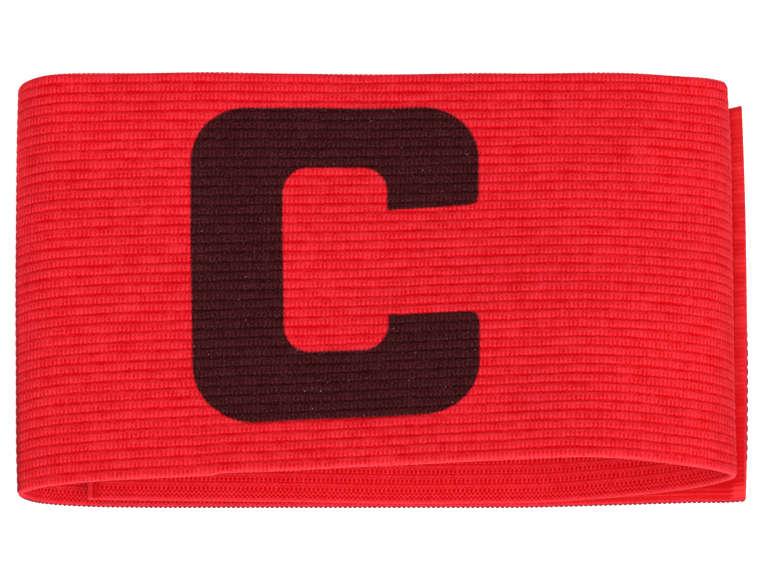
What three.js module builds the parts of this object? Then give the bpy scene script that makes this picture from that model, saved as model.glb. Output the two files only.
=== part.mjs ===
// A captain's armband lying on its back: one wide strip of ribbed elastic wound into an open loop and held
// shut by a hook tape and a loop tape. Millimetres, +X along the loop from its left fold to its tail, +Y
// across the band from the letter's foot to its head, +Z up from the table under the armband.
import * as THREE from 'three';

// Driving dimensions
const bandWidth = 75; // selvage to selvage
const bandThickness = 1.1; // rib crest to inner face
const ribPitch = 1.79;
const ribDepth = 0.3; // crest to groove
const crestWidth = 1.05; // flat top of a rib
const loopLength = 129.2; // left fold to right fold
const loopHeight = 38.8; // crown of the front above the table
const hookTapeLength = 47;
const hookTapeThickness = 0.5;
const loopTapeLength = 80;
const loopTapeThickness = 0.5;
const tapeInset = 0.4; // band's edge to tape's edge
const tapeGap = 0.2; // clearance on each face of a tape
const climbLength = 22; // over which the inner back layer climbs onto the hook tape

// How finely the curved strip is faceted
const longestStep = 21;
const largestTurn = THREE.MathUtils.degToRad(25);
const ribsPerInnerPanel = 6;
const tapePanels = 5;
const tracePoints = 1500;

// The strip's route: one row for each section across the band, from the hidden inner end to the tail. foot is
// the selvage below the letter, head the one above it. Along is a share of loopLength from the left fold, and
// up a share of loopHeight above the table or, for the inner back layer, above what it lies over.
const innerBack = [
  { footAlong: 0.1, footUp: 0.085, headAlong: 0.105, headUp: 0.036 },
  { footAlong: 0.248, footUp: 0.062, headAlong: 0.256, headUp: 0.026 },
  { footAlong: 0.402, footUp: 0.041, headAlong: 0.412, headUp: 0.015 },
  { footAlong: 0.542, footUp: 0.003, headAlong: 0.554, headUp: 0.002 },
  { footAlong: 0.642, footUp: 0.002, headAlong: 0.656, headUp: 0.002 },
  { footAlong: 0.735, footUp: 0.018, headAlong: 0.752, headUp: 0.016 },
];
const rightFold = [
  { footAlong: 0.83, footUp: 0.18, headAlong: 0.85, headUp: 0.105 },
  { footAlong: 0.917, footUp: 0.309, headAlong: 0.932, headUp: 0.142 },
  { footAlong: 0.978, footUp: 0.461, headAlong: 0.986, headUp: 0.22 },
  { footAlong: 1, footUp: 0.598, headAlong: 0.998, headUp: 0.365 },
  { footAlong: 0.97, footUp: 0.745, headAlong: 0.977, headUp: 0.54 },
];
const front = [
  { footAlong: 0.899, footUp: 0.892, headAlong: 0.9, headUp: 0.645 },
  { footAlong: 0.797, footUp: 1, headAlong: 0.797, headUp: 0.695 },
  { footAlong: 0.666, footUp: 0.938, headAlong: 0.668, headUp: 0.67 },
  { footAlong: 0.48, footUp: 0.807, headAlong: 0.48, headUp: 0.618 },
  { footAlong: 0.279, footUp: 0.675, headAlong: 0.279, headUp: 0.616 },
  { footAlong: 0.125, footUp: 0.562, headAlong: 0.124, headUp: 0.602 },
];
const leftFold = [
  { footAlong: 0.041, footUp: 0.436, headAlong: 0.037, headUp: 0.572 },
  { footAlong: 0, footUp: 0.268, headAlong: 0.003, headUp: 0.433 },
  { footAlong: 0.023, footUp: 0.112, headAlong: 0.002, headUp: 0.214 },
  { footAlong: 0.085, footUp: 0.03, headAlong: 0.05, headUp: 0.046 },
];
const outerBack = [
  { footAlong: 0.201, footUp: 0, headAlong: 0.172, headUp: 0 },
  { footAlong: 0.449, footUp: 0, headAlong: 0.434, headUp: 0 },
  { footAlong: 0.697, footUp: 0, headAlong: 0.69, headUp: 0 },
  { footAlong: 0.805, footUp: 0.034, headAlong: 0.8, headUp: 0 },
  { footAlong: 0.913, footUp: 0.08, headAlong: 0.911, headUp: 0.003 },
  { footAlong: 0.983, footUp: 0.111, headAlong: 0.983, headUp: 0.006 },
  { footAlong: 1.017, footUp: 0.152, headAlong: 1.018, headUp: 0.02 },
];

const hookTapeStart = outerBack[outerBack.length - 1].footAlong * loopLength - tapeInset - hookTapeLength;

// What the inner back layer lies over: the outer back layer, the loop tape and, further along, the hook tape
function heightBelow(x) {
  const climb = THREE.MathUtils.clamp((x - hookTapeStart) / climbLength + 1, 0, 1);
  return bandThickness + loopTapeThickness + 2 * tapeGap + climb * (hookTapeThickness + tapeGap);
}

function edgeCurve(along, up) {
  const rows = [...innerBack, ...rightFold, ...front, ...leftFold, ...outerBack];
  const points = rows.map((row) => {
    const x = row[along] * loopLength;
    const base = innerBack.includes(row) ? heightBelow(x) : 0;
    return new THREE.Vector3(x, 0, base + row[up] * loopHeight);
  });
  return new THREE.CatmullRomCurve3(points, false, 'centripetal');
}

const footCurve = edgeCurve('footAlong', 'footUp');
const headCurve = edgeCurve('headAlong', 'headUp');

// A section is the straight line across the band between its two selvages, at the band's full width.
function sectionAt(t) {
  const foot = footCurve.getPoint(t);
  const head = headCurve.getPoint(t);
  foot.z = Math.max(foot.z, 0); // the table flattens what rests on it
  head.z = Math.max(head.z, 0);
  foot.y = -bandWidth / 2;
  head.y = foot.y + Math.sqrt(bandWidth ** 2 - (head.x - foot.x) ** 2 - (head.z - foot.z) ** 2);
  return { foot, head, footTangent: footCurve.getTangent(t), headTangent: headCurve.getTangent(t) };
}

// Stations crowd together where the strip bends, and spread out where it runs straight.
function bandStations() {
  const trace = [{ ...sectionAt(0), effort: 0 }];
  for (let i = 1; i <= tracePoints; i++) {
    const last = trace[i - 1];
    const next = sectionAt(i / tracePoints);
    const step = (next.foot.distanceTo(last.foot) + next.head.distanceTo(last.head)) / 2;
    const turn = (next.footTangent.angleTo(last.footTangent) + next.headTangent.angleTo(last.headTangent)) / 2;
    trace.push({ ...next, effort: last.effort + step / longestStep + turn / largestTurn });
  }
  const total = trace[tracePoints].effort;
  const count = Math.ceil(total);
  const stations = [];
  for (let k = 0; k <= count; k++) {
    stations.push(trace.find((point) => point.effort >= (total * k) / count - Number.EPSILON * total));
  }
  return stations;
}

// Each station's distance along the strip, measured on the facets
function measure(stations) {
  let distance = 0;
  return stations.map((station, i) => {
    if (i > 0) {
      const last = stations[i - 1];
      distance += (station.foot.distanceTo(last.foot) + station.head.distanceTo(last.head)) / 2;
    }
    return { ...station, distance };
  });
}

const strip = measure(bandStations());
const stripLength = strip[strip.length - 1].distance;
const ribCount = Math.round(bandWidth / ribPitch);

function pointOn(station, share, depth) {
  const ruling = station.head.clone().sub(station.foot);
  const tangent = station.footTangent.clone().lerp(station.headTangent, share);
  const outward = new THREE.Vector3().crossVectors(ruling, tangent).normalize();
  return station.foot.clone().addScaledVector(ruling, share).addScaledVector(outward, -depth);
}

// A solid that follows the strip through the given rows of points: outer[i] and inner[i] are lists of points
// across station i, from foot to head, and outerShares and innerShares say how far across each point lies.
function solidThrough(outer, inner, outerShares, innerShares) {
  const across = outerShares.length;
  const innerAcross = innerShares.length;
  const perStation = across + innerAcross;
  const vertices = [];
  const triangles = [];
  outer.forEach((row, i) => vertices.push(...row, ...inner[i]));
  const o = (i, j) => i * perStation + j;
  const n = (i, j) => i * perStation + across + j;
  const quad = (a, b, c, d) => triangles.push([a, b, c], [a, c, d]);

  for (let i = 0; i < outer.length - 1; i++) {
    for (let j = 0; j < across - 1; j++) {
      quad(o(i, j), o(i, j + 1), o(i + 1, j + 1), o(i + 1, j));
    }
    for (let j = 0; j < innerAcross - 1; j++) {
      quad(n(i, j), n(i + 1, j), n(i + 1, j + 1), n(i, j + 1));
    }
    quad(o(i, 0), o(i + 1, 0), n(i + 1, 0), n(i, 0));
    quad(o(i, across - 1), n(i, innerAcross - 1), n(i + 1, innerAcross - 1), o(i + 1, across - 1));
  }

  const cutEnd = (i, flip) => {
    const facet = (a, b, c) => triangles.push(flip ? [a, c, b] : [a, b, c]);
    let j = 0;
    let k = 0;
    while (j < across - 1 || k < innerAcross - 1) {
      const outerNext = j < across - 1 ? outerShares[j + 1] : Infinity;
      const innerNext = k < innerAcross - 1 ? innerShares[k + 1] : Infinity;
      if (outerNext <= innerNext) {
        facet(o(i, j), n(i, k), o(i, j + 1));
        j += 1;
      } else {
        facet(o(i, j), n(i, k), n(i, k + 1));
        k += 1;
      }
    }
  };
  cutEnd(0, false);
  cutEnd(outer.length - 1, true);

  const geometry = new THREE.BufferGeometry();
  geometry.setAttribute('position', new THREE.Float32BufferAttribute(vertices.flatMap((v) => v.toArray()), 3));
  geometry.setIndex(triangles.flat());
  geometry.computeVertexNormals();
  return geometry;
}

function evenShares(panels, from = 0, to = 1) {
  return Array.from({ length: panels + 1 }, (_, k) => THREE.MathUtils.lerp(from, to, k / panels));
}

function ribbedProfile() {
  const flank = (1 - crestWidth / (bandWidth / ribCount)) / 2;
  const profile = [{ share: 0, depth: ribDepth }];
  for (let rib = 0; rib < ribCount; rib++) {
    profile.push({ share: (rib + flank) / ribCount, depth: 0 });
    profile.push({ share: (rib + 1 - flank) / ribCount, depth: 0 });
    profile.push({ share: (rib + 1) / ribCount, depth: ribDepth });
  }
  return profile;
}

function elasticBand() {
  const ribs = ribbedProfile();
  const innerShares = evenShares(Math.round(ribCount / ribsPerInnerPanel));
  const outer = strip.map((station) => ribs.map((point) => pointOn(station, point.share, point.depth)));
  const inner = strip.map((station) => innerShares.map((share) => pointOn(station, share, bandThickness)));
  return solidThrough(outer, inner, ribs.map((point) => point.share), innerShares);
}

// A point on the strip's facets between two stations, so that a tape lies true on the band
function pointAlong(distance, share, depth) {
  const next = Math.max(1, strip.findIndex((station) => station.distance >= distance));
  const before = strip[next - 1];
  const after = strip[next];
  const blend = (distance - before.distance) / (after.distance - before.distance);
  return pointOn(before, share, depth).lerp(pointOn(after, share, depth), blend);
}

function tape(from, to, outerDepth, innerDepth) {
  const inset = tapeInset / bandWidth;
  const shares = evenShares(tapePanels, inset, 1 - inset);
  const between = strip.map((station) => station.distance).filter((d) => d > from && d < to);
  const places = [from, ...between, to];
  const face = (depth) => places.map((place) => shares.map((share) => pointAlong(place, share, depth)));
  return solidThrough(face(outerDepth), face(innerDepth), shares, shares);
}

// The hook tape lies on the inner face of the tail end.
function hookTape() {
  const end = stripLength - tapeInset;
  const outerDepth = bandThickness + tapeGap;
  return tape(end - hookTapeLength, end, outerDepth, outerDepth + hookTapeThickness);
}

// The loop tape lies on the ribbed face of the inner end.
function loopTape() {
  return tape(tapeInset, tapeInset + loopTapeLength, -tapeGap - loopTapeThickness, -tapeGap);
}

const redElastic = new THREE.MeshStandardMaterial({ color: 0xf02332, roughness: 0.85, metalness: 0 });
const redHooks = new THREE.MeshStandardMaterial({ color: 0xe62a22, roughness: 0.6, metalness: 0 });
const redLoops = new THREE.MeshStandardMaterial({ color: 0xd8202a, roughness: 0.95, metalness: 0 });

function piece(name, geometry, material) {
  const mesh = new THREE.Mesh(geometry, material);
  mesh.name = name;
  return mesh;
}

const armband = new THREE.Group();
armband.add(
  piece('elastic_band', elasticBand(), redElastic),
  piece('hook_tape', hookTape(), redHooks),
  piece('loop_tape', loopTape(), redLoops),
);

// The origin is on the table, under the middle of the armband's outline.
const outline = new THREE.Box3().setFromObject(armband);
const middle = outline.getCenter(new THREE.Vector3());
armband.position.set(-middle.x, -middle.y, -outline.min.z);

export default armband;
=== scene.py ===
# Captain's armband: ribbed knit with a printed letter, looped selvages, hook and loop tapes and sewing.
# The strip's route repeats the CAD band's, so each piece lies where its solid lies.
import math
import bpy
import numpy as np
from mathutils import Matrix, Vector


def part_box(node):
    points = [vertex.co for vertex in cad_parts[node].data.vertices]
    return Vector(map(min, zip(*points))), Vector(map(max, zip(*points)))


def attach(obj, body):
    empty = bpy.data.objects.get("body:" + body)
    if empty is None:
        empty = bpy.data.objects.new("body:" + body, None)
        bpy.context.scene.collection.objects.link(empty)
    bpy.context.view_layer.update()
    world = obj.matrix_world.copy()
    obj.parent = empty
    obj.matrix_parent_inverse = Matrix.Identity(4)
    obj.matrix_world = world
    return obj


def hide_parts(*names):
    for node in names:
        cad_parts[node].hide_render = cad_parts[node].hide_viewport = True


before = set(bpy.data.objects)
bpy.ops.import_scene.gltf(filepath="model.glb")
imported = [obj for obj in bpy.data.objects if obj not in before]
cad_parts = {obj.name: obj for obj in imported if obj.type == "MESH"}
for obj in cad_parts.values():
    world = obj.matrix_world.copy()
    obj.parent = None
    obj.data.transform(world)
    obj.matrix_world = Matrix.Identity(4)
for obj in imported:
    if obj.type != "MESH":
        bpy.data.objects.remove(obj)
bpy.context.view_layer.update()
mm = 0.001
random = np.random.default_rng(11)

# The cloth: lengths in mm, and places on it as mm along from the hidden inner end and mm across from the
# selvage under the letter's foot
cloth = {'width': 75.0, 'thickness': 1.1, 'ribs': 42, 'ribDepth': 0.17, 'innerDepth': 0.05,
         'longestStep': 3.4, 'largestTurn': math.radians(5.6)}
ribPitch = cloth['width'] / cloth['ribs']

# How the real cloth strays from its plain route, in mm: the tail's end and the left fold bow in the middle,
# the left fold's corners are pinched, the right fold sinks and is creased at the letter's head, the tail's
# upper corner kicks up and its lower one droops, and the front's lower edge steps down below the letter's
# left side. A reach is how far along the strip it acts.
stray = {'tailBow': 0.6, 'tailBowReach': 12.0, 'foldBow': 0.7, 'foldBowReach': 9.0,
         'pinch': 0.4, 'pinchReach': 5.0, 'pinchFoot': -2.0, 'pinchHead': 6.0,
         'shoulder': 0.5, 'shoulderAt': 13.0, 'shoulderReach': 7.0,
         'crease': 0.5, 'creaseTop': 4.7, 'creaseTopReach': 2.2, 'creaseDip': -0.5, 'creaseDipReach': 3.5,
         'kick': 0.55, 'kickReach': 9.0, 'kickRise': 2.4, 'droop': 0.3, 'droopReach': 10.0,
         'step': 0.3, 'stepAt': 221.0, 'stepFade': 20.0, 'ripple': 0.07, 'waver': 0.06}

# The strip's route, one row for each section: foot along, foot up, head along, head up. Along is a share of
# the loop's length from its left fold, up a share of its height, over what the inner layer lies on.
route = {'length': 129.2, 'height': 38.8, 'tracePoints': 6000,
         'innerBack': ((0.1, 0.085, 0.105, 0.036), (0.248, 0.062, 0.256, 0.026),
                       (0.402, 0.041, 0.412, 0.015), (0.542, 0.003, 0.554, 0.002),
                       (0.642, 0.002, 0.656, 0.002), (0.735, 0.018, 0.752, 0.016)),
         'rightFold': ((0.83, 0.18, 0.85, 0.105), (0.917, 0.309, 0.932, 0.142), (0.978, 0.461, 0.986, 0.22),
                       (1, 0.598, 0.998, 0.365), (0.97, 0.745, 0.977, 0.54)),
         'front': ((0.899, 0.892, 0.9, 0.645), (0.797, 1, 0.797, 0.695), (0.666, 0.938, 0.668, 0.67),
                   (0.48, 0.807, 0.48, 0.618), (0.279, 0.675, 0.279, 0.616), (0.125, 0.562, 0.124, 0.602)),
         'leftFold': ((0.041, 0.436, 0.037, 0.572), (0, 0.268, 0.003, 0.433), (0.023, 0.112, 0.002, 0.214),
                      (0.085, 0.03, 0.05, 0.046)),
         'outerBack': ((0.201, 0, 0.172, 0), (0.449, 0, 0.434, 0), (0.697, 0, 0.69, 0),
                       (0.805, 0.034, 0.8, 0), (0.913, 0.08, 0.911, 0.003),
                       (0.983, 0.111, 0.983, 0.006), (1.017, 0.152, 1.018, 0.02))}
tapes = {'gap': 0.2, 'inset': 0.4, 'hookLength': 47.0, 'hookThickness': 0.5, 'loopLength': 80.0,
         'loopThickness': 0.5, 'climb': 22.0, 'overhang': 0.34, 'press': 0.17, 'cover': 0.3}


def smooth(x):
    x = np.clip(x, 0, 1)
    return x * x * (3 - 2 * x)


def heightBelow(x):  # what the inner back layer lies over
    hookStart = route['outerBack'][-1][0] * route['length'] - tapes['inset'] - tapes['hookLength']
    climb = np.clip((x - hookStart) / tapes['climb'] + 1, 0, 1)
    under = cloth['thickness'] + tapes['loopThickness'] + 2 * tapes['gap']
    return under + climb * (tapes['hookThickness'] + tapes['gap'])


def edgeTrace(along, up, places):  # a centripetal Catmull-Rom curve through the rows' ends
    parts = ('innerBack', 'rightFold', 'front', 'leftFold', 'outerBack')
    rows = [row for part in parts for row in route[part]]
    points = np.array([(row[along] * route['length'], row[up] * route['height']) for row in rows])
    inner = len(route['innerBack'])
    points[:inner, 1] += heightBelow(points[:inner, 0])
    points = np.vstack([2 * points[0] - points[1], points, 2 * points[-1] - points[-2]])
    place = places * (len(rows) - 1)
    k = np.minimum(place.astype(int), len(rows) - 2)
    w = (place - k)[:, None]
    p0, p1, p2, p3 = (points[k + i] for i in range(4))
    spans = [np.linalg.norm(b - a, axis=1) for a, b in ((p0, p1), (p1, p2), (p2, p3))]
    d0, d1, d2 = (np.sqrt(span)[:, None] for span in spans)
    leave = ((p1 - p0) / d0 - (p2 - p0) / (d0 + d1) + (p2 - p1) / d1) * d1
    arrive = ((p2 - p1) / d1 - (p3 - p1) / (d1 + d2) + (p3 - p2) / d2) * d1
    square = 3 * (p2 - p1) - 2 * leave - arrive
    cube = 2 * (p1 - p2) + leave + arrive
    curve = p1 + leave * w + square * w**2 + cube * w**3
    curve[:, 1] = np.maximum(curve[:, 1], 0)  # the table flattens what rests on it
    return curve


def traceStrip():
    places = np.linspace(0, 1, route['tracePoints'] + 1)
    footCurve, headCurve = edgeTrace(0, 1, places), edgeTrace(2, 3, places)
    rise = np.sqrt(cloth['width']**2 - ((headCurve - footCurve)**2).sum(1))
    foot = np.stack([footCurve[:, 0], np.zeros_like(rise), footCurve[:, 1]], 1)
    head = np.stack([headCurve[:, 0], rise, headCurve[:, 1]], 1)
    ways = []
    for edge in (foot, head):
        way = np.gradient(edge, axis=0)
        ways.append(way / np.linalg.norm(way, axis=1)[:, None])
    step = sum(np.linalg.norm(np.diff(edge, axis=0), axis=1) for edge in (foot, head)) / 2
    along = np.concatenate([[0], np.cumsum(step)])
    return {'foot': foot, 'head': head, 'footWay': ways[0], 'headWay': ways[1], 'along': along}


strip = traceStrip()
stripLength = strip['along'][-1]
halfway = len(strip['along']) // 2
rightTurns = [np.argmax(strip[edge][:halfway, 0]) for edge in ('foot', 'head')]
leftTurns = [halfway + np.argmin(strip[edge][halfway:, 0]) for edge in ('foot', 'head')]
rightApex, rightApexHead = strip['along'][rightTurns]
leftApex, leftApexHead = strip['along'][leftTurns]


def bell(distance, reach):
    return np.exp(-(distance / reach)**2)


def strayFrom(along, across):  # mm that the cloth lies above, beside and beyond its plain route
    share = across / cloth['width']
    nearHead = np.clip(share, 0, 1)
    belly = 1 - (2 * share - 1)**2
    fromEnd = along - stripLength
    # 1 where nothing holds the cloth
    free = smooth((along - rightApex + 8) / 12) * smooth((leftApex + 8 - along) / 12)

    waves = np.sin(along / 5.9 + across / 8.7) + 0.7 * np.sin(along / 3.1 - across / 4.9)
    lift = stray['ripple'] * free * waves
    lift += stray['foldBow'] * belly * bell(along - leftApex, stray['foldBowReach'])
    pinchAt = leftApex + stray['pinchFoot'] + (stray['pinchHead'] - stray['pinchFoot']) * nearHead
    lift -= stray['pinch'] * bell(along - pinchAt, stray['pinchReach'])
    shoulder = bell(along - rightApex - stray['shoulderAt'], stray['shoulderReach'])
    lift -= stray['shoulder'] * shoulder * nearHead**3
    crease = bell(along - rightApexHead - stray['creaseTop'], stray['creaseTopReach'])
    crease -= bell(along - rightApexHead - stray['creaseDip'], stray['creaseDipReach'])
    lift += stray['crease'] * crease * nearHead**16

    beside = stray['waver'] * free * np.sin(along / 3.7 + np.floor(across / ribPitch) * 1.9)
    stepped = smooth(along - stray['stepAt']) * smooth((leftApex - along) / stray['stepFade'])
    beside -= stray['step'] * stepped * (1 - nearHead)**8
    kicked = (np.clip(fromEnd / stray['kickRise'] + 1, -0.5, 1) - 0.7) * (fromEnd > -stray['kickReach'])
    beside += stray['kick'] * kicked * nearHead**6
    beside -= stray['droop'] * smooth(fromEnd / stray['droopReach'] + 1) * (1 - nearHead)**6

    bow = np.maximum(belly, 0)**(0.6 + 0.4 * nearHead)
    beyond = stray['tailBow'] * bow * smooth(fromEnd / stray['tailBowReach'] + 1)
    return lift, beside, beyond


def onCloth(along, across, depth, shape=True):  # places, outward directions and ways along the strip, in mm
    along, across, depth = np.broadcast_arrays(*(np.asarray(v, float) for v in (along, across, depth)))
    share, lift = across / cloth['width'], -depth
    if shape:
        above, beside, beyond = strayFrom(along, across)
        lift = lift + above
        share = share + beside / cloth['width']
        along = along + beyond
    inside = np.clip(along, 0, stripLength)

    def pick(name):
        return np.stack([np.interp(inside, strip['along'], strip[name][:, i]) for i in range(3)], -1)

    foot, head = pick('foot'), pick('head')
    ruling = head - foot
    way = pick('footWay') * (1 - share)[..., None] + pick('headWay') * share[..., None]
    way = way / np.linalg.norm(way, axis=-1)[..., None]
    out = np.cross(ruling, way)
    out = out / np.linalg.norm(out, axis=-1)[..., None]
    place = foot + ruling * share[..., None] + way * (along - inside)[..., None] + out * lift[..., None]
    return place, out, way


# The frame says where the route lies: the tail's end and the lower selvage are the solid's own corners.
bandLow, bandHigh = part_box('elastic_band')
tailAcross = np.linspace(0, cloth['width'], 50)[:, None]
tailEnd = onCloth(stripLength, tailAcross, [0, cloth['thickness']], shape=False)[0]
routeShift = np.array([bandHigh.x / mm - tailEnd[..., 0].max(), 0, 0])
footLine = onCloth(strip['along'][::20, None], 0, [cloth['ribDepth'], cloth['thickness']], shape=False)[0]
routeShift[1] = bandLow.y / mm - footLine[..., 1].min()


def inFrame(places):
    return (places + routeShift) * mm


def clothRows(along, across, depth):  # what the materials read at each point: mm along, across and deep
    return np.stack(np.broadcast_arrays(along, across, depth), -1).reshape(-1, 3)


def makePiece(name, points, faces, clothPlaces, materials, faceMaterials=None):
    mesh = bpy.data.meshes.new(name)
    mesh.from_pydata(points, [], faces)
    stored = mesh.attributes.new('cloth', 'FLOAT_VECTOR', 'POINT')
    stored.data.foreach_set('vector', np.asarray(clothPlaces, np.float32).ravel())
    for material in materials:
        mesh.materials.append(material)
    if faceMaterials is not None:
        mesh.polygons.foreach_set('material_index', np.asarray(faceMaterials, np.int32))
    mesh.shade_smooth()
    mesh.validate()
    piece = bpy.data.objects.new(name, mesh)
    bpy.context.scene.collection.objects.link(piece)
    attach(piece, 'root')
    return piece


# Materials: helpers for the node trees


def addNode(tree, kind, inputs=None, **settings):
    node = tree.nodes.new(kind)
    for name, value in settings.items():
        setattr(node, name, value)
    for key, value in (inputs or {}).items():
        if isinstance(value, bpy.types.NodeSocket):
            tree.links.new(value, node.inputs[key])
        else:
            node.inputs[key].default_value = value
    return node


def calc(tree, operation, *values):
    return addNode(tree, 'ShaderNodeMath', dict(enumerate(values)), operation=operation).outputs[0]


def plus(tree, first, second):
    return calc(tree, 'ADD', first, second)


def minus(tree, first, second):
    return calc(tree, 'SUBTRACT', first, second)


def times(tree, first, second):
    return calc(tree, 'MULTIPLY', first, second)


def ramp(tree, value, start, end, low=0.0, high=1.0):  # eases from low at start to high at end
    inputs = {'Value': value, 'From Min': start, 'From Max': end, 'To Min': low, 'To Max': high}
    return addNode(tree, 'ShaderNodeMapRange', inputs, interpolation_type='SMOOTHSTEP').outputs[0]


def blend(tree, factor, first, second, blendType='MIX'):
    node = addNode(tree, 'ShaderNodeMix', data_type='RGBA', blend_type=blendType)
    sockets = {s.identifier: s for s in node.inputs}
    for key, value in (('Factor_Float', factor), ('A_Color', first), ('B_Color', second)):
        if isinstance(value, bpy.types.NodeSocket):
            tree.links.new(value, sockets[key])
        else:
            sockets[key].default_value = value
    return next(s for s in node.outputs if s.identifier == 'Result_Color')


def newGroup(name, inputs, outputs):
    tree = bpy.data.node_groups.new(name, 'ShaderNodeTree')
    for label, value in inputs.items():
        socket = tree.interface.new_socket(label, in_out='INPUT', socket_type='NodeSocketFloat')
        socket.default_value = value
    for label in outputs:
        tree.interface.new_socket(label, in_out='OUTPUT', socket_type='NodeSocketFloat')
    return tree, tree.nodes.new('NodeGroupInput').outputs, tree.nodes.new('NodeGroupOutput').inputs


def useGroup(tree, group, values):
    node = tree.nodes.new('ShaderNodeGroup')
    node.node_tree = group
    for key, value in values.items():
        if isinstance(value, bpy.types.NodeSocket):
            tree.links.new(value, node.inputs[key])
        else:
            node.inputs[key].default_value = value
    return node.outputs


def newMaterial(name):
    material = bpy.data.materials.new(name)
    material.use_nodes = True
    tree = material.node_tree
    return material, tree, tree.nodes['Principled BSDF']


def clothPlace(tree):  # mm along and across the cloth
    stored = addNode(tree, 'ShaderNodeAttribute', attribute_name='cloth')
    split = addNode(tree, 'ShaderNodeSeparateXYZ', {0: stored.outputs['Vector']})
    return stored.outputs['Vector'], split.outputs[0], split.outputs[1]


def red(r, g, b):
    return (r, g, b, 1)


def fromEdge(tree, across):  # mm to the nearer selvage
    return calc(tree, 'MINIMUM', across, minus(tree, cloth['width'], across))


def nearEdge(tree, across):  # 1 where the face turns into the selvage, 0 further in
    return ramp(tree, fromEdge(tree, across), 0.2, 0.36, 1.0, 0.0)


def foldShade(tree, along, across):  # painted shade darkens the folds: narrowly on the left, widely on the right
    paintedShade = 1.0
    share = calc(tree, 'DIVIDE', across, cloth['width'])
    folds = ((leftApex - 0.5, leftApexHead - 0.5, 0.8, 3.0, 0.5),
             (rightApex, rightApexHead, 2.5, 11.0, 0.83))
    for foot, head, near, far, level in folds:
        fold = calc(tree, 'MULTIPLY_ADD', times(tree, share, share), head - foot, foot)
        away = calc(tree, 'ABSOLUTE', minus(tree, along, fold))
        paintedShade = times(tree, ramp(tree, away, near, far, level, 1.0), paintedShade)
    return paintedShade


def makeStitchGroup():  # Y-shaped knit stitches in rows: a knot at the foot, a stem and two arms above it
    values = {'Along': 0, 'Across': 0, 'Stitch Pitch': 0.8, 'Row Pitch': ribPitch, 'Fork': 0.4,
              'Arms Meet': 0.8, 'Yarn': 0.13, 'Lean': 0.03, 'Uneven': 0.16, 'Knot Rise': 0.2,
              'Knot Width': 0.46, 'Knot Height': 0.46}
    tree, given, gives = newGroup('knitStitches', values, ('Yarn', 'Knot', 'Rise', 'Tone'))
    spot = addNode(tree, 'ShaderNodeCombineXYZ', {0: given['Along'], 1: given['Across']}).outputs[0]
    drift = addNode(tree, 'ShaderNodeTexNoise', {'Vector': spot, 'Scale': 0.9, 'Detail': 1.0})
    shift = addNode(tree, 'ShaderNodeSeparateXYZ', {0: drift.outputs['Color']}).outputs
    wander = [times(tree, minus(tree, shift[i], 0.5), given['Uneven']) for i in range(2)]
    leaning = times(tree, given['Across'], given['Lean'])
    along = plus(tree, plus(tree, given['Along'], leaning), wander[0])
    across = plus(tree, given['Across'], wander[1])
    column = calc(tree, 'DIVIDE', along, given['Stitch Pitch'])
    row = calc(tree, 'DIVIDE', across, given['Row Pitch'])
    rise = calc(tree, 'FRACT', row)
    cell = addNode(tree, 'ShaderNodeCombineXYZ',
                   {0: calc(tree, 'FLOOR', column), 1: calc(tree, 'FLOOR', row)}).outputs[0]
    lot = addNode(tree, 'ShaderNodeTexWhiteNoise', {'Vector': cell}, noise_dimensions='2D').outputs
    aside = calc(tree, 'ABSOLUTE', minus(tree, calc(tree, 'FRACT', column), 0.5))
    arm = ramp(tree, rise, given['Fork'], given['Arms Meet'], 0.0, 0.5)
    away = times(tree, calc(tree, 'ABSOLUTE', minus(tree, aside, arm)), given['Stitch Pitch'])
    yarn = ramp(tree, away, times(tree, given['Yarn'], 0.6), times(tree, given['Yarn'], 1.9), 1.0, 0.0)
    knotSide = calc(tree, 'DIVIDE', times(tree, aside, given['Stitch Pitch']), given['Knot Width'])
    knotUp = times(tree, minus(tree, rise, given['Knot Rise']), given['Row Pitch'])
    knotUp = calc(tree, 'DIVIDE', knotUp, given['Knot Height'])
    reach = calc(tree, 'SQRT', plus(tree, times(tree, knotSide, knotSide), times(tree, knotUp, knotUp)))
    knot = ramp(tree, reach, 0.1, 0.7, 1.0, 0.0)
    for name, value in (('Yarn', yarn), ('Knot', knot), ('Rise', rise), ('Tone', lot['Value'])):
        tree.links.new(value, gives[name])
    return tree


def makeFibreGroup():  # the yarn's loose fibres, the uneven tension along a rib and the dye's slow changes
    values = {'Along': 0, 'Across': 0, 'Size': 0.25}
    tree, given, gives = newGroup('fibreFuzz', values, ('Fuzz', 'Streak', 'Cloud'))
    spot = addNode(tree, 'ShaderNodeCombineXYZ', {0: given['Along'], 1: given['Across']}).outputs[0]
    fine = calc(tree, 'DIVIDE', 1.0, given['Size'])
    fuzz = addNode(tree, 'ShaderNodeTexNoise',
                   {'Vector': spot, 'Scale': fine, 'Detail': 2.0, 'Roughness': 0.6})
    shorter = times(tree, given['Along'], 0.25)
    drawn = addNode(tree, 'ShaderNodeCombineXYZ', {0: shorter, 1: given['Across']}).outputs[0]
    streak = addNode(tree, 'ShaderNodeTexNoise', {'Vector': drawn, 'Scale': 0.85, 'Detail': 2.0})
    cloud = addNode(tree, 'ShaderNodeTexNoise', {'Vector': spot, 'Scale': 0.07, 'Detail': 2.0})
    for name, texture in (('Fuzz', fuzz), ('Streak', streak), ('Cloud', cloud)):
        tree.links.new(texture.outputs[0], gives[name])
    return tree


# The printed block letter: mm on the cloth, along counted from the hidden inner end
letter = {'right': 173.75, 'left': 226.1, 'foot': 9.0, 'head': 68.35, 'corner': 10.2, 'heel': 1.0,
          'counterRight': 190.4, 'counterLeft': 209.3, 'counterFoot': 21.9, 'counterHead': 56.85,
          'counterCorner': 4.8, 'mouthFoot': 28.55, 'mouthHead': 49.26, 'mouthSlant': 0.052,
          'mouthCorner': 0.4, 'nib': 0.4, 'tip': 2.8, 'bleed': 0.25, 'wander': 0.2,
          'lean': 0.02, 'leanFrom': 7.0}


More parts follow.
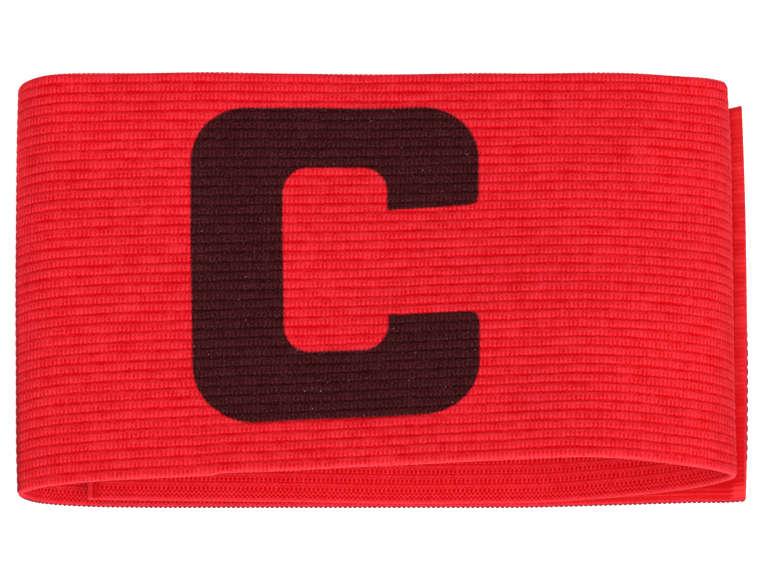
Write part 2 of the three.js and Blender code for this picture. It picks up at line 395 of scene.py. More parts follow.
def makeLetterGroup():
    tree, given, gives = newGroup('blockLetter', {'Along': 0, 'Across': 0}, ('Ink',))
    middle = (letter['foot'] + letter['head']) / 2
    lean = times(tree, minus(tree, middle + letter['leanFrom'], given['Across']), letter['lean'])
    lean = times(tree, calc(tree, 'MAXIMUM', lean, 0.0),
                 ramp(tree, given['Along'], letter['right'], letter['left'], 0.4, 1.0))
    along = plus(tree, given['Along'], lean)  # the cloth has drawn the letter's lower half to the right

    def roundedBox(right, left, foot, head, corner, across=given['Across']):  # below zero inside
        far = []
        for value, low, high in ((along, right, left), (across, foot, head)):
            offset = calc(tree, 'ABSOLUTE', minus(tree, value, (low + high) / 2))
            far.append(plus(tree, minus(tree, offset, (high - low) / 2), corner))
        outside = [calc(tree, 'POWER', calc(tree, 'MAXIMUM', f, 0.0), 2.0) for f in far]
        length = calc(tree, 'SQRT', plus(tree, *outside))
        within = calc(tree, 'MINIMUM', calc(tree, 'MAXIMUM', *far), 0.0)
        return minus(tree, plus(tree, length, within), corner)

    heel = ramp(tree, along, letter['counterRight'], letter['counterLeft'], 0.0, letter['heel'])
    heel = times(tree, heel, ramp(tree, given['Across'], middle - 12, middle, 1.0, 0.0))
    block = roundedBox(letter['right'], letter['left'], letter['foot'], letter['head'],
                       plus(tree, heel, letter['corner']))  # rounder at its lower left corner
    counter = roundedBox(letter['counterRight'], letter['counterLeft'], letter['counterFoot'],
                         letter['counterHead'], letter['counterCorner'])
    slant = times(tree, minus(tree, given['Along'], letter['right']), letter['mouthSlant'])
    upper = ramp(tree, given['Across'], letter['mouthFoot'] + 2, letter['mouthHead'] - 3)
    slanted = plus(tree, given['Across'], times(tree, slant, upper))
    mouth = roundedBox(letter['right'] - 20, letter['counterRight'] + 6, letter['mouthFoot'],
                       letter['mouthHead'], letter['mouthCorner'], slanted)
    hollow = calc(tree, 'SMOOTH_MIN', counter, mouth, letter['nib'])
    shape = calc(tree, 'SMOOTH_MAX', block, times(tree, hollow, -1.0), letter['tip'])
    spot = addNode(tree, 'ShaderNodeCombineXYZ', {0: given['Along'], 1: given['Across']}).outputs[0]
    creep = addNode(tree, 'ShaderNodeTexNoise', {'Vector': spot, 'Scale': 1.7, 'Detail': 2.0}).outputs[0]
    creep = times(tree, minus(tree, creep, 0.5), letter['wander'] * 2)
    ink = ramp(tree, plus(tree, shape, creep), -letter['bleed'], letter['bleed'], 1.0, 0.0)
    tree.links.new(ink, gives['Ink'])
    return tree


knitStitches = makeStitchGroup()
fibreFuzz = makeFibreGroup()
blockLetter = makeLetterGroup()


def ribbedFace():  # the outer face: closed stitches on rounded ribs, with the letter printed over them
    look = {'deep': red(0.64, 0.0002, 0.0040), 'lit': red(0.93, 0.035, 0.053), 'bound': 0.6,
            'ink': red(0.072, 0.0095, 0.0115), 'inkDeep': red(0.022, 0.0004, 0.0008),
            'lint': red(0.11, 0.050, 0.052), 'speck': red(0.36, 0.21, 0.21)}
    material, tree, shader = newMaterial('ribbed_elastic_face')
    spot, along, across = clothPlace(tree)
    stitch = useGroup(tree, knitStitches,
                      {'Along': along, 'Across': across, 'Fork': 0.52, 'Arms Meet': 0.95})
    rise = stitch['Rise']
    fibre = useGroup(tree, fibreFuzz, {'Along': along, 'Across': across, 'Size': 0.38})
    ink = useGroup(tree, blockLetter, {'Along': along, 'Across': across})['Ink']
    # painted shade: the thread darkens towards each rib's upper side, and the colour darkens in the grooves
    # between the ribs
    fade = ramp(tree, rise, 0.3, 0.95, 0.42, 0.26)
    thread = times(tree, stitch['Yarn'], fade)
    light = plus(tree, plus(tree, thread, 0.3), times(tree, stitch['Knot'], 0.4))
    groove = times(tree, ramp(tree, rise, 0.0, 0.16, 0.12), ramp(tree, rise, 0.6, 0.98, 1.0, 0.22))
    light = times(tree, light, groove)
    light = calc(tree, 'MAXIMUM', light, times(tree, nearEdge(tree, across), look['bound']))
    for value, weight in ((fibre['Fuzz'], 1.5), (stitch['Tone'], 0.2), (fibre['Streak'], 0.9)):
        light = plus(tree, light, times(tree, minus(tree, value, 0.5), weight))
    light = addNode(tree, 'ShaderNodeClamp', {0: light}).outputs[0]
    # the dye's slow changes, darkened by the painted shade at the folds
    cloud = times(tree, ramp(tree, fibre['Cloud'], 0.35, 0.65, 0.95, 1.0), foldShade(tree, along, across))
    shade = addNode(tree, 'ShaderNodeCombineColor', {0: cloud, 1: cloud, 2: cloud}).outputs[0]
    fabric = blend(tree, 1.0, blend(tree, light, look['deep'], look['lit']), shade, 'MULTIPLY')
    inked = blend(tree, light, look['inkDeep'], look['ink'])
    inked = blend(tree, ramp(tree, fibre['Fuzz'], 0.56, 0.74, 0.0, 0.6), inked, look['lint'])
    cell = addNode(tree, 'ShaderNodeTexVoronoi', {'Vector': spot, 'Scale': 0.75}, feature='F1')
    speck = ramp(tree, cell.outputs['Distance'], 0.05, 0.09, 1.0, 0.0)
    chosen = addNode(tree, 'ShaderNodeSeparateXYZ', {0: cell.outputs['Color']}).outputs[0]
    speck = times(tree, speck, calc(tree, 'GREATER_THAN', chosen, 0.8))
    inked = blend(tree, speck, inked, look['speck'])
    tree.links.new(blend(tree, ink, fabric, inked), shader.inputs['Base Color'])
    bump = addNode(tree, 'ShaderNodeBump', {'Height': light, 'Distance': 0.1 * mm, 'Strength': 1.0})
    tree.links.new(bump.outputs[0], shader.inputs['Normal'])
    tree.links.new(ramp(tree, ink, 0.0, 1.0, 0.9, 0.7), shader.inputs['Roughness'])
    shader.inputs['Specular IOR Level'].default_value = 0.06
    shader.inputs['Sheen Weight'].default_value = 0.015
    shader.inputs['Sheen Roughness'].default_value = 0.35
    shader.inputs['Sheen Tint'].default_value = red(1.0, 0.4, 0.45)
    return material


def openFace():  # the inner face: open stitches with dark holes between their legs
    look = {'deep': red(0.63, 0.0001, 0.0018), 'lit': red(0.97, 0.036, 0.058), 'fused': 2.0, 'bound': 0.95}
    material, tree, shader = newMaterial('ribbed_elastic_inside')
    _, along, across = clothPlace(tree)
    stitch = useGroup(tree, knitStitches, {
        'Along': along, 'Across': across, 'Yarn': 0.12, 'Fork': 0.28, 'Arms Meet': 0.78, 'Lean': -0.05,
        'Knot Rise': 0.1, 'Knot Width': 0.62, 'Knot Height': 0.3})
    edging = useGroup(tree, knitStitches, {  # the row by the selvage is knitted twice as close
        'Along': along, 'Across': across, 'Row Pitch': ribPitch / 2, 'Yarn': 0.13, 'Fork': 0.12,
        'Arms Meet': 0.95, 'Lean': -0.05, 'Uneven': 0.24, 'Knot Rise': 0.0, 'Knot Width': 0.5,
        'Knot Height': 0.3})
    fibre = useGroup(tree, fibreFuzz, {'Along': along, 'Across': across, 'Size': 0.3})
    rise = stitch['Rise']
    fade = times(tree, ramp(tree, rise, 0.6, 0.98, 0.85, 0.3), ramp(tree, rise, 0.0, 0.05))
    arms = times(tree, stitch['Yarn'], fade)
    light = calc(tree, 'MAXIMUM', arms, times(tree, stitch['Knot'], 0.9))
    solid = times(tree, ramp(tree, rise, 0.6, 0.72), ramp(tree, rise, 0.75, 0.98, 1.0, 0.25))
    light = calc(tree, 'MAXIMUM', light, times(tree, solid, 0.7))
    zigzag = calc(tree, 'MAXIMUM', times(tree, edging['Yarn'], 0.8), times(tree, edging['Knot'], 0.7))
    atEdge = calc(tree, 'LESS_THAN', fromEdge(tree, across), ribPitch)
    light = addNode(tree, 'ShaderNodeMix', {0: atEdge, 2: light, 3: zigzag}).outputs[0]
    light = calc(tree, 'MAXIMUM', light, times(tree, nearEdge(tree, across), look['bound']))
    for value, weight in ((fibre['Fuzz'], 0.9), (stitch['Tone'], 0.2), (fibre['Streak'], 0.3)):
        light = plus(tree, light, times(tree, minus(tree, value, 0.5), weight))
    drawn = {'Along': along, 'Across': times(tree, across, 0.2), 'Size': 0.4}
    lines = useGroup(tree, fibreFuzz, drawn)['Fuzz']
    meltLine = plus(tree, along, times(tree, fibre['Fuzz'], 0.5))  # the inner end is fused where it was cut
    fused = ramp(tree, meltLine, look['fused'], look['fused'] + 0.5, 1.0, 0.0)
    # painted highlight: the face is lighter along the inner end's cut edge
    cutEdge = ramp(tree, along, 0.5, 0.9, 1.0, 0.0)
    fusedWithLitEdge = calc(tree, 'MAXIMUM', ramp(tree, lines, 0.3, 0.75, 0.0, 0.6), cutEdge)
    light = addNode(tree, 'ShaderNodeMix', {0: fused, 2: light, 3: fusedWithLitEdge}).outputs[0]
    light = addNode(tree, 'ShaderNodeClamp', {0: light}).outputs[0]
    tree.links.new(blend(tree, light, look['deep'], look['lit']), shader.inputs['Base Color'])
    bump = addNode(tree, 'ShaderNodeBump', {'Height': light, 'Distance': 0.12 * mm, 'Strength': 1.0})
    tree.links.new(bump.outputs[0], shader.inputs['Normal'])
    shader.inputs['Roughness'].default_value = 0.9
    shader.inputs['Specular IOR Level'].default_value = 0.05
    shader.inputs['Sheen Weight'].default_value = 0.02
    shader.inputs['Sheen Tint'].default_value = red(1.0, 0.4, 0.45)
    return material


def selvageYarn():  # the bound edge: smooth yarn laid along it, with painted shade on its loops' tips where they stand out
    look = {'deep': red(0.52, 0.003, 0.009), 'lit': red(0.94, 0.052, 0.074), 'tip': red(0.20, 0.012, 0.036)}
    material, tree, shader = newMaterial('selvage_yarn')
    spot, along, across = clothPlace(tree)
    half = cloth['width'] / 2
    beyond = minus(tree, calc(tree, 'ABSOLUTE', minus(tree, across, half)), half)
    # painted shade: the 'tip' colour darkens the loops' tips along the upper edge and past the left fold,
    # and the ribs' ends standing out past the tail's end
    shadedLoopZone = calc(tree, 'MAXIMUM', ramp(tree, along, leftApex, leftApex + 6),
                  calc(tree, 'GREATER_THAN', across, half))
    tip = times(tree, ramp(tree, beyond, -0.04, 0.12), shadedLoopZone)
    tip = calc(tree, 'MAXIMUM', tip, ramp(tree, minus(tree, along, stripLength), 0.04, 0.2))
    depth = addNode(tree, 'ShaderNodeSeparateXYZ', {0: spot}).outputs[2]
    around = plus(tree, across, times(tree, depth, 1.7))
    longer = times(tree, along, 0.15)
    streak = useGroup(tree, fibreFuzz, {'Along': longer, 'Across': around, 'Size': 0.2})['Fuzz']
    middle = (cloth['ribDepth'] + cloth['thickness']) / 2
    fromMiddle = calc(tree, 'ABSOLUTE', minus(tree, depth, middle))
    turned = ramp(tree, fromMiddle, 0.28, 0.42, 0.0, 0.3)  # the yarn shows paler where it turns onto a face
    column = calc(tree, 'FRACT', calc(tree, 'DIVIDE', along, 0.8))  # the stitches run on over it
    strokes = ramp(tree, calc(tree, 'ABSOLUTE', minus(tree, column, 0.5)), 0.08, 0.42, 0.3, 0.0)
    strokes = times(tree, strokes, ramp(tree, along, rightApex - 8, rightApex))
    strokes = times(tree, strokes, ramp(tree, along, leftApex, leftApex + 6, 1.0, 0.0))
    level = plus(tree, plus(tree, ramp(tree, streak, 0.3, 0.65, 0.05, 0.55), turned), strokes)
    yarn = blend(tree, addNode(tree, 'ShaderNodeClamp', {0: level}).outputs[0], look['deep'], look['lit'])
    tree.links.new(blend(tree, tip, yarn, look['tip']), shader.inputs['Base Color'])
    bump = addNode(tree, 'ShaderNodeBump', {'Height': streak, 'Distance': 0.08 * mm, 'Strength': 0.8})
    tree.links.new(bump.outputs[0], shader.inputs['Normal'])
    shader.inputs['Roughness'].default_value = 0.8
    shader.inputs['Specular IOR Level'].default_value = 0.08
    shader.inputs['Sheen Weight'].default_value = 0.05
    return material


def hookTapeWeave():
    look = {'deep': red(0.62, 0.003, 0.006), 'lit': red(0.95, 0.042, 0.050)}
    material, tree, shader = newMaterial('hook_tape_weave')
    _, along, across = clothPlace(tree)
    fibre = useGroup(tree, fibreFuzz, {'Along': times(tree, along, 0.3), 'Across': across, 'Size': 0.3})
    weft = calc(tree, 'ABSOLUTE', calc(tree, 'SINE', times(tree, across, math.pi / 0.42)))
    warp = calc(tree, 'ABSOLUTE', calc(tree, 'SINE', times(tree, along, math.pi / 0.36)))
    weave = plus(tree, times(tree, weft, 0.14), times(tree, warp, 0.1))
    weave = plus(tree, weave, times(tree, fibre['Fuzz'], 0.42))
    weave = plus(tree, weave, times(tree, fibre['Streak'], 0.5))
    rows = minus(tree, calc(tree, 'SINE', times(tree, across, 4 * math.pi / ribPitch)), 0.5)
    weave = plus(tree, weave, times(tree, rows, ramp(tree, across, 4, 16, 0.14, 0.05)))
    foldShadeAndDarkening = ramp(tree, along, tailInset - 2.3, tailInset - 0.9, 0.34, 0.0)  # painted shade beside the fold
    foldShadeAndDarkening = plus(tree, foldShadeAndDarkening, ramp(tree, across, 10, 26, 0.24, 0.04))  # and darker towards the lower corner
    weave = minus(tree, weave, foldShadeAndDarkening)
    weave = plus(tree, weave, ramp(tree, across, 2.2, 3.2, 0.45, 0.0))
    colour = blend(tree, ramp(tree, weave, 0.3, 0.95), look['deep'], look['lit'])
    tree.links.new(colour, shader.inputs['Base Color'])
    bump = addNode(tree, 'ShaderNodeBump', {'Height': weave, 'Distance': 0.06 * mm, 'Strength': 0.7})
    tree.links.new(bump.outputs[0], shader.inputs['Normal'])
    shader.inputs['Roughness'].default_value = 0.7
    shader.inputs['Specular IOR Level'].default_value = 0.1
    return material


def hookNylon():
    material, tree, shader = newMaterial('hook_nylon')
    _, along, across = clothPlace(tree)
    tone = useGroup(tree, fibreFuzz, {'Along': along, 'Across': across, 'Size': 0.8})['Fuzz']
    colour = blend(tree, tone, red(0.66, 0.014, 0.010), red(0.9, 0.05, 0.035))
    tree.links.new(colour, shader.inputs['Base Color'])
    shader.inputs['Roughness'].default_value = 0.32
    return material


def loopTapePile():
    material, tree, shader = newMaterial('loop_tape_pile')
    _, along, across = clothPlace(tree)
    fibre = useGroup(tree, fibreFuzz, {'Along': along, 'Across': across, 'Size': 0.32})
    colour = blend(tree, fibre['Fuzz'], red(0.34, 0.004, 0.008), red(0.85, 0.03, 0.045))
    tree.links.new(colour, shader.inputs['Base Color'])
    bump = addNode(tree, 'ShaderNodeBump', {'Height': fibre['Fuzz'], 'Distance': 0.3 * mm, 'Strength': 1.0})
    tree.links.new(bump.outputs[0], shader.inputs['Normal'])
    shader.inputs['Roughness'].default_value = 0.95
    shader.inputs['Sheen Weight'].default_value = 0.2
    return material


def sewingYarn():
    material, tree, shader = newMaterial('sewing_thread')
    _, along, across = clothPlace(tree)
    twist = calc(tree, 'SINE', times(tree, plus(tree, along, across), 2 * math.pi / 0.45))
    colour = blend(tree, ramp(tree, twist, -1, 1), red(0.6, 0.01, 0.015), red(0.9, 0.05, 0.06))
    tree.links.new(colour, shader.inputs['Base Color'])
    bump = addNode(tree, 'ShaderNodeBump', {'Height': twist, 'Distance': 0.04 * mm, 'Strength': 0.8})
    tree.links.new(bump.outputs[0], shader.inputs['Normal'])
    shader.inputs['Roughness'].default_value = 0.45
    return material


hookDepth = cloth['thickness'] + tapes['gap']
tailInset = stripLength - tapes['inset']
faceKnit, insideKnit, edgeYarn = ribbedFace(), openFace(), selvageYarn()
print('materials made')


# The band: a closed ring of columns across the cloth, carried along its stations. A rib's shape is given as
# shares of its width and of its rise.
band = {'ribShape': ((0, 0), (0.1, 0.6), (0.28, 1), (0.5, 0.98), (0.72, 0.82), (0.9, 0.42)),
        'innerShape': ((0, 0), (0.1, 0.75), (0.28, 1), (0.5, 0.8), (0.72, 0.4), (0.9, 0.1)),
        'edge': 0.22, 'edgeDepth': 0.2, 'endRound': 0.05, 'ribPoke': 0.26, 'pokeFrom': 4.0, 'pokeTo': 38.0}


def bandStations():
    turn = [np.arccos(np.clip((strip[w][1:] * strip[w][:-1]).sum(1), -1, 1)) for w in ('footWay', 'headWay')]
    effort = np.diff(strip['along']) / cloth['longestStep'] + (turn[0] + turn[1]) / 2 / cloth['largestTurn']
    effort = np.concatenate([[0], np.cumsum(effort)])
    count = math.ceil(effort[-1])
    return np.interp(np.linspace(0, effort[-1], count + 1), effort, strip['along'])


def makeBand():
    across, outerDepth, innerDepth = [band['edge']], [band['edgeDepth']], [cloth['thickness']]
    for rib in range(cloth['ribs'] + 1):
        for (share, rise), (_, innerRise) in zip(band['ribShape'], band['innerShape']):
            place = (rib + share) * ribPitch
            if band['edge'] < place < cloth['width'] - band['edge']:  # the selvage roll covers the rest
                across.append(place)
                outerDepth.append(cloth['ribDepth'] * (1 - rise))
                innerDepth.append(cloth['thickness'] - cloth['innerDepth'] * (1 - innerRise))
    across.append(cloth['width'] - band['edge'])
    outerDepth.append(band['edgeDepth'])
    innerDepth.append(cloth['thickness'])
    across, outerDepth, innerDepth = (np.array(v) for v in (across, outerDepth, innerDepth))
    columns = len(across)
    ring = 2 * columns
    ringAcross = np.concatenate([across, across[::-1]])
    ringDepth = np.concatenate([outerDepth, innerDepth[::-1]])
    stations = bandStations()
    places, _, _ = onCloth(stations[:, None], ringAcross[None], ringDepth[None])
    points = [places.reshape(-1, 3)]
    clothAt = [clothRows(stations[:, None], ringAcross[None], ringDepth[None])]

    i, j = np.meshgrid(np.arange(len(stations) - 1), np.arange(ring), indexing='ij')
    k = (j + 1) % ring
    here, ahead = i * ring, (i + 1) * ring
    faces = np.stack([here + j, here + k, ahead + k, ahead + j], -1).reshape(-1, 4).tolist()
    zone = np.repeat([0, 2, 1, 2], [columns - 1, 1, columns - 1, 1])
    zones = np.tile(zone, len(stations) - 1).tolist()

    poking = smooth((across - band['pokeFrom']) / 5) * smooth((band['pokeTo'] - across) / 12)
    standing = (1 - outerDepth / cloth['ribDepth']) * band['ribPoke'] * poking
    middle = (outerDepth + innerDepth) / 2
    for station, poke in ((0, -band['endRound']), (len(stations) - 1, band['endRound'] + standing)):
        at = np.full(columns, stations[station]) + poke  # rounded cut ends, with some ribs standing out
        mid = sum(len(p) for p in points) + np.arange(columns)
        points.append(onCloth(at, across, middle)[0])
        clothAt.append(np.stack([at, across, middle], -1))
        outer = station * ring + np.arange(columns)
        inner = station * ring + 2 * columns - 1 - np.arange(columns)
        add = [(mid[-1], outer[-1], inner[-1]), (mid[0], inner[0], outer[0])]
        for c in range(columns - 1):
            add.append((outer[c], outer[c + 1], mid[c + 1], mid[c]))
            add.append((mid[c], mid[c + 1], inner[c + 1], inner[c]))
        faces += [tuple(int(v) for v in (f if station else f[::-1])) for f in add]
        zones += [2] * len(add)
    return makePiece('ribbed_band', inFrame(np.vstack(points)).tolist(), faces, np.vstack(clothAt),
                     [faceKnit, insideKnit, edgeYarn], zones)


ribbedBand = makeBand()
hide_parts('elastic_band')
print('ribbed band made:', len(ribbedBand.data.polygons), 'faces')


def sweepYarn(paths, acrossPath, clothPath, radius, sides):  # round yarns, each along its own row of points
    angles = np.arange(sides) * 2 * math.pi / sides
    way = np.gradient(paths, axis=1)
    way /= np.linalg.norm(way, axis=-1)[..., None]
    side = np.cross(way, acrossPath)
    side /= np.linalg.norm(side, axis=-1)[..., None]
    up = np.cross(side, way)
    offsets = side[..., None, :] * np.cos(angles)[:, None] + up[..., None, :] * np.sin(angles)[:, None]
    radius = np.broadcast_to(radius, paths.shape[:2])[..., None, None]
    points = paths[..., None, :] + offsets * radius
    yarns, steps = paths.shape[:2]
    y, i, j = np.meshgrid(np.arange(yarns), np.arange(steps - 1), np.arange(sides), indexing='ij')
    k = (j + 1) % sides
    at = (y * steps + i) * sides
    faces = np.stack([at + j, at + k, at + sides + k, at + sides + j], -1).reshape(-1, 4).tolist()
    first = (np.arange(yarns) * steps * sides)[:, None]
    caps = first + np.arange(sides)[None, ::-1]
    faces += caps.tolist() + (first + (steps - 1) * sides + np.arange(sides)).tolist()
    return points.reshape(-1, 3), faces, np.repeat(clothPath.reshape(-1, 3), sides, 0)


# The selvages: a rolled edge as thick as the cloth, with a small loop standing out at each stitch
selvage = {'pitch': 0.9, 'reach': 0.3, 'headReach': 0.45, 'halfWidth': 0.2, 'halfDepth': 0.43, 'inset': 0.2,
           'steps': 6, 'sides': 9}


def makeSelvages():
    loops = int(stripLength / selvage['pitch'])
    phase = np.arange(loops * selvage['steps'] + 1) / selvage['steps']
    along = (phase * stripLength / loops)[:, None]
    swing = (np.abs(np.sin(math.pi * phase))**0.7 * selvage['reach'])[:, None]
    # the loops are drawn flat at the tail's upper corner and along the opening's edges
    headSwing = selvage['headReach'] * swing * (1 - 0.6 * smooth((along - stripLength + 5) / 2))
    footSwing = swing * (0.3 + 0.7 * smooth((along - leftApex + 4) / 6))
    sides = selvage['sides']
    angle = (np.arange(sides) * 2 * math.pi / sides)[None]
    depth = (cloth['ribDepth'] + cloth['thickness']) / 2 + selvage['halfDepth'] * np.sin(angle)
    points, faces, clothAt = [], [], []
    for edge, side, reach in ((0, -1, footSwing), (cloth['width'], 1, headSwing)):
        outward = selvage['halfWidth'] * np.cos(angle) + reach * np.maximum(np.cos(angle), 0)
        across = edge + side * (outward - selvage['inset'])
        start = sum(len(p) for p in points)
        points.append(onCloth(along, across, depth)[0].reshape(-1, 3))
        clothAt.append(clothRows(along, across, depth))
        i, j = np.meshgrid(np.arange(len(along) - 1), np.arange(sides), indexing='ij')
        at = start + i * sides
        k = (j + 1) % sides
        wall = np.stack([at + j, at + sides + j, at + sides + k, at + k], -1).reshape(-1, 4)
        caps = [start + np.arange(sides), start + len(along) * sides - 1 - np.arange(sides)]
        faces += [face[::side] for face in wall.tolist() + [cap.tolist() for cap in caps]]
    places = inFrame(np.vstack(points)).tolist()
    return makePiece('selvage_loops', places, faces, np.vstack(clothAt), [edgeYarn])


selvageLoops = makeSelvages()
print('selvages made')


def makeTape(name, start, end, outerDepth, innerDepth, material, roughen):
    along = np.linspace(start, end, int((end - start) / 1.0) + 1)
    across = np.linspace(tapes['inset'], cloth['width'] - tapes['inset'], 75)
    count = (len(along), len(across))
    faces, points, clothAt = [], [], []
    index = np.arange(count[0] * count[1]).reshape(count)
    rough = random.normal(0, roughen, (2, *count)).clip(-2 * roughen, 2 * roughen)
    fromSide = np.minimum(across - across[0], across[-1] - across)
    # its end hides the tail's lower corner, and its sides are sewn down
    alongAt = along[:, None] + tapes['cover'] * smooth(1 - across / 9) * (along[:, None] > tailInset)
    pressed = tapes['press'] * smooth(1 - fromSide / 1.6) * (-1 if outerDepth > 0 else 1)
    for layer, depth in enumerate((outerDepth, innerDepth)):
        toCore = 1 - 2 * layer  # the cloth's face only sinks in
        sunk = depth + pressed + toCore * np.abs(rough[layer])
        points.append(onCloth(alongAt, across[None], sunk)[0].reshape(-1, 3))
        clothAt.append(clothRows(alongAt, across[None], float(layer)))
        at = index + layer * index.size
        quads = np.stack([at[:-1, :-1], at[:-1, 1:], at[1:, 1:], at[1:, :-1]], -1).reshape(-1, 4)
        faces += (quads if layer == 0 else quads[:, ::-1]).tolist()
    rim = np.concatenate([index[0, :-1], index[:-1, -1], index[-1, :0:-1], index[:0:-1, 0]])
    following = np.roll(rim, -1)
    faces += np.stack([following, rim, rim + index.size, following + index.size], -1).tolist()
    return makePiece(name, inFrame(np.vstack(points)).tolist(), faces, np.vstack(clothAt), [material])


hookTape = makeTape('woven_hook_tape', tailInset - tapes['hookLength'], tailInset + tapes['overhang'],
                    hookDepth, hookDepth + tapes['hookThickness'], hookTapeWeave(), 0.01)
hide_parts('hook_tape')
loopTape = makeTape('brushed_loop_tape', tapes['inset'], tapes['inset'] + tapes['loopLength'],
                    -tapes['gap'] - tapes['loopThickness'], -tapes['gap'], loopTapePile(), 0.06)
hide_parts('loop_tape')
print('tapes made')


# The hooks where nothing lies on the tape: short bent nylon wires in rows, a stem and a turned end each
hooks = {'rowPitch': 1.5, 'pitch': 1.75, 'margin': 4.6, 'clear': 26.0, 'height': 0.75, 'curl': 0.42,
         'stem': 0.45, 'stemRise': 0.62, 'turn': 0.86 * math.pi, 'radius': 0.09, 'steps': 8, 'sides': 4}


def makeHooks():
    rows = np.arange(tailInset - hooks['clear'], tailInset - hooks['margin'] + 0.01, hooks['rowPitch'])
    sideMargin = tapes['inset'] + hooks['margin']
    places = np.arange(sideMargin, cloth['width'] - sideMargin, hooks['pitch'])
    along, across = np.meshgrid(rows, places, indexing='ij')
    across = across + (np.arange(len(rows)) % 2)[:, None] * hooks['pitch'] / 2
    along, across = along.ravel(), across.ravel()
    along = along + random.normal(0, 0.06, along.shape)
    facing = np.where(np.arange(len(along)) % 2, 1.0, -1.0) * random.uniform(0.85, 1.15, len(along))
    bend = np.linspace(0, 1, hooks['steps'])
    stemmed = bend < hooks['stem']
    turned = (bend - hooks['stem']) / (1 - hooks['stem']) * hooks['turn']
    rise = np.where(stemmed, bend / hooks['stem'] * hooks['stemRise'],
                    hooks['stemRise'] + (1 - hooks['stemRise']) * np.sin(turned))
    reach = np.where(stemmed, 0, 1 - np.cos(turned)) / 2
    base = hookDepth + tapes['hookThickness'] - 0.05
    path, _, way = onCloth(along[:, None] + facing[:, None] * reach * hooks['curl'], across[:, None],
                           base + rise * hooks['height'])
    _, out, _ = onCloth(along[:, None], across[:, None], base)
    side = np.broadcast_to(np.cross(out, way), path.shape)
    clothAt = clothRows(along[:, None], across[:, None], bend[None])
    points, faces, clothAt = sweepYarn(path, side, clothAt, hooks['radius'], hooks['sides'])
    return makePiece('tape_hooks', inFrame(points).tolist(), faces, clothAt, [hookNylon()])


tapeHooks = makeHooks()
print('hooks made')


# The sewing: lockstitches around the loop tape and, behind the hook tape, on the band's outer face
sewing = {'stitch': 2.2, 'gap': 0.5, 'margin': 1.1, 'endMargin': 3.4, 'radius': 0.13, 'thinning': 0.45,
          'sink': 0.16, 'proud': 0.05, 'steps': 6, 'sides': 6}


def makeSewing():
    runs = []
    fromMiddle = np.abs(np.linspace(-1, 1, sewing['steps']))  # a stitch thins and sinks in at its ends
    sunk = sewing['sink'] * fromMiddle**3 - sewing['proud']
    thin = 1 - sewing['thinning'] * fromMiddle**4
    loopFace = -tapes['gap'] - tapes['loopThickness']
    tapeEnds = ((tapes['inset'], tapes['inset'] + tapes['loopLength'], loopFace),
                (tailInset - tapes['hookLength'], tailInset, 0.0))
    for start, end, depth in tapeEnds:
        low, high = start + sewing['endMargin'], end - sewing['endMargin']
        left, right = tapes['inset'] + sewing['margin'], cloth['width'] - tapes['inset'] - sewing['margin']
        corners = np.array([(low, left), (high, left), (high, right), (low, right)])
        for a, b in zip(corners, np.roll(corners, -1, axis=0)):
            length = np.linalg.norm(b - a)
            count = max(1, int(length / (sewing['stitch'] + sewing['gap'])))
            at = (np.arange(count) + 0.5)[:, None] * length / count
            spread = np.linspace(-0.5, 0.5, sewing['steps'])[None] * sewing['stitch']
            where = a + (at + spread)[..., None] / length * (b - a)
            runs.append((where, np.tile(depth + sunk, (count, 1))))
    where = np.concatenate([r[0] for r in runs])
    depth = np.concatenate([r[1] for r in runs])
    path, out, _ = onCloth(where[..., 0], where[..., 1], depth)
    clothAt = np.concatenate([where, depth[..., None]], -1)
    points, faces, clothAt = sweepYarn(path, out, clothAt, sewing['radius'] * thin[None], sewing['sides'])
    return makePiece('tape_sewing', inFrame(points).tolist(), faces, clothAt, [sewingYarn()])


tapeSewing = makeSewing()
print('sewing made')


# The floor, the light and the camera
studio = {'floorSize': 4.0, 'floor': 0.9, 'glow': 0.6, 'world': 0.6,
          'softboxes': {'front_softbox': {'power': 18.5, 'size': (2.6, 1.2), 'at': (0.6, -1.45, 1.1)},
                        'top_softbox': {'power': 13.6, 'size': (1.2, 1.2), 'at': (0.4, -0.5, 1.65)}}}


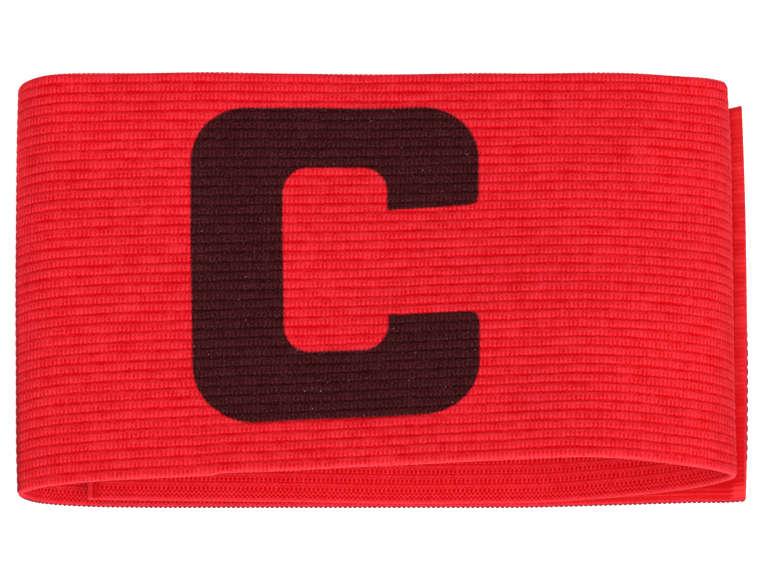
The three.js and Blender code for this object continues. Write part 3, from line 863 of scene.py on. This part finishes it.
def makeStudio():
    half = studio['floorSize'] / 2
    mesh = bpy.data.meshes.new('pale_table')
    corners = [(-half, -half, 0), (half, -half, 0), (half, half, 0), (-half, half, 0)]
    mesh.from_pydata(corners, [], [(0, 1, 2, 3)])
    table = bpy.data.objects.new('pale_table', mesh)
    table.location.z = -0.05 * mm
    bpy.context.scene.collection.objects.link(table)
    material, tree, shader = newMaterial('pale_table_top')
    grain = addNode(tree, 'ShaderNodeTexNoise', {'Scale': 40.0, 'Detail': 2.0}).outputs[0]
    level = ramp(tree, grain, 0.3, 0.7, studio['floor'] - 0.01, studio['floor'])
    tone = addNode(tree, 'ShaderNodeCombineColor', {0: level, 1: level, 2: level}).outputs[0]
    tree.links.new(tone, shader.inputs['Base Color'])
    shader.inputs['Roughness'].default_value = 0.9
    shader.inputs['Specular IOR Level'].default_value = 0.1
    shader.inputs['Emission Color'].default_value = (1, 1, 1, 1)  # a light table: no shadow greys it
    shader.inputs['Emission Strength'].default_value = studio['glow']
    mesh.materials.append(material)

    world = bpy.data.worlds.new('soft_white_room')
    world.use_nodes = True
    world.node_tree.nodes['Background'].inputs['Color'].default_value = (1, 1, 1, 1)
    world.node_tree.nodes['Background'].inputs['Strength'].default_value = studio['world']
    bpy.context.scene.world = world
    for name, box in studio['softboxes'].items():
        light = bpy.data.lights.new(name, 'AREA')
        light.shape = 'RECTANGLE'
        light.energy = box['power']
        light.size, light.size_y = box['size']
        lamp = bpy.data.objects.new(name, light)
        lamp.location = box['at']
        lamp.rotation_euler = (-lamp.location).to_track_quat('-Z', 'Y').to_euler()
        bpy.context.scene.collection.objects.link(lamp)


view = {'elevation': 75.0, 'distance': 1.95, 'aim': (-0.0001, -0.00027, 0.01493), 'pixelsPerMm': 5.55,
        'imageWidth': 760, 'sensor': 36.0}


def makeCamera():
    camera = bpy.data.cameras.new('camera')
    camera.sensor_width = view['sensor']
    camera.lens = view['pixelsPerMm'] * view['distance'] / mm * view['sensor'] / view['imageWidth']
    camera.clip_end = 20
    tripod = bpy.data.objects.new('camera', camera)
    tilt = math.radians(view['elevation'])
    tripod.location = Vector(view['aim']) + view['distance'] * Vector((0, -math.cos(tilt), math.sin(tilt)))
    tripod.rotation_euler = (math.pi / 2 - tilt, 0, 0)
    bpy.context.scene.collection.objects.link(tripod)
    bpy.context.scene.camera = tripod


makeStudio()
makeCamera()
bpy.context.scene.view_settings.view_transform = 'Standard'
bpy.context.scene.view_settings.look = 'None'
print('studio and camera set')
